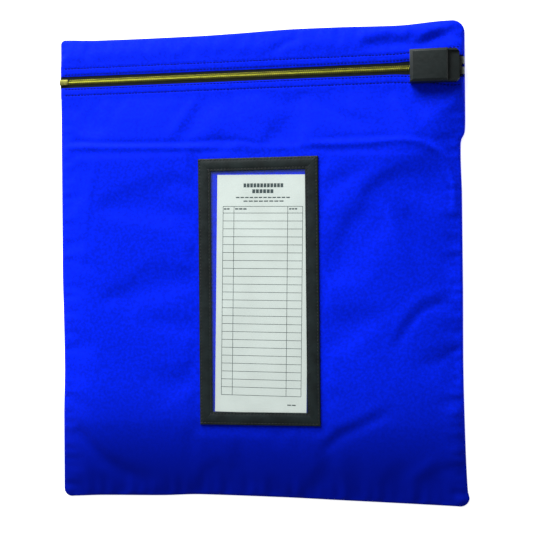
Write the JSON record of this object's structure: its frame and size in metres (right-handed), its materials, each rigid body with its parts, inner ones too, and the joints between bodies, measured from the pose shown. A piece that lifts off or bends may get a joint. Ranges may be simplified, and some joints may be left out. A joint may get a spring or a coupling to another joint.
{
  "type": "zippered deposit bag",
  "caption": "Flat rectangular security bag of coated cloth with a brass zipper, a seal lock housing on the slider and a clear card window.",
  "frame": {"origin": "on the surface the bag lies on, under the middle of the bag's box", "axes": "+X along the zipper towards its locked end, +Y up the bag towards the zipper, +Z out of the front panel"},
  "size_m": [0.4, 0.46, 0.0206],
  "materials": {
    "blue_nylon": "coated woven nylon, low sheen",
    "seam_binding": "woven polypropylene tape",
    "zipper_tape": "woven herringbone tape",
    "zipper_brass": "antique brass",
    "slider_brass": "blackened brass",
    "steel_pin": "bright",
    "nickel_steel": "nickel plated",
    "black_plastic": "fine moulded texture",
    "clear_vinyl": "clear flexible sheet",
    "black_vinyl": "soft satin vinyl",
    "white_card": "matt card, printed form",
    "blue_thread": "polyester thread",
    "black_thread": "polyester thread"
  },
  "bodies": {
    "bag": {"back_panel": "blue_nylon", "front_panel": "blue_nylon", "header_left": "blue_nylon", "header_right": "blue_nylon", "side_seam_binding_left": "seam_binding", "side_seam_binding_right": "seam_binding", "bottom_seam_binding": "seam_binding", "zipper_tape_lower": "zipper_tape", "zipper_tape_upper_left": "zipper_tape", "zipper_tape_upper_right": "zipper_tape", "zipper_teeth_lower": "zipper_brass", "zipper_teeth_upper_left": "zipper_brass", "zipper_teeth_upper_right": "zipper_brass", "zipper_end_stop": "zipper_brass", "zipper_top_stops": "zipper_brass", "end_hasp": "nickel_steel", "window_pane": "clear_vinyl", "window_trim_left": "black_vinyl", "window_trim_right": "black_vinyl", "window_trim_top": "black_vinyl", "window_trim_bottom": "black_vinyl", "stitching_zipper_lower": "blue_thread", "stitching_zipper_upper_left": "blue_thread", "stitching_zipper_upper_right": "blue_thread", "stitching_window": "black_thread"},
    "mouth": {"header_mid": "blue_nylon", "zipper_tape_upper_mid": "zipper_tape", "zipper_teeth_upper_mid": "zipper_brass", "stitching_zipper_upper_mid": "blue_thread"},
    "slider": {"zip_slider": "slider_brass", "slider_pin": "steel_pin", "lock_cover": "black_plastic", "lock_base": "black_plastic", "lock_rivets": "steel_pin"},
    "card": {"card": "white_card"}
  },
  "joints": [
    {"name": "zip_travel", "type": "slide", "parent": "bag", "child": "slider", "axis": [-1, 0, 0], "range_m": [0, 0.33], "deforming": ["header_mid", "zipper_tape_upper_mid", "zipper_teeth_upper_mid", "stitching_zipper_upper_mid", "zipper_teeth_lower", "zipper_teeth_upper_left", "zipper_teeth_upper_right"]},
    {"name": "mouth_open", "type": "hinge", "parent": "bag", "child": "mouth", "pos_m": [0, 0.2296, 0.001], "axis": [-1, 0, 0], "range_deg": [0, 45]},
    {"name": "card_slide", "type": "slide", "parent": "bag", "child": "card", "axis": [0, 1, 0], "range_m": [0, 0.09]}
  ],
  "couplings": [
    {"joint": "mouth_open", "follows": "zip_travel", "rad_per_m": 2.3795}
  ]
}
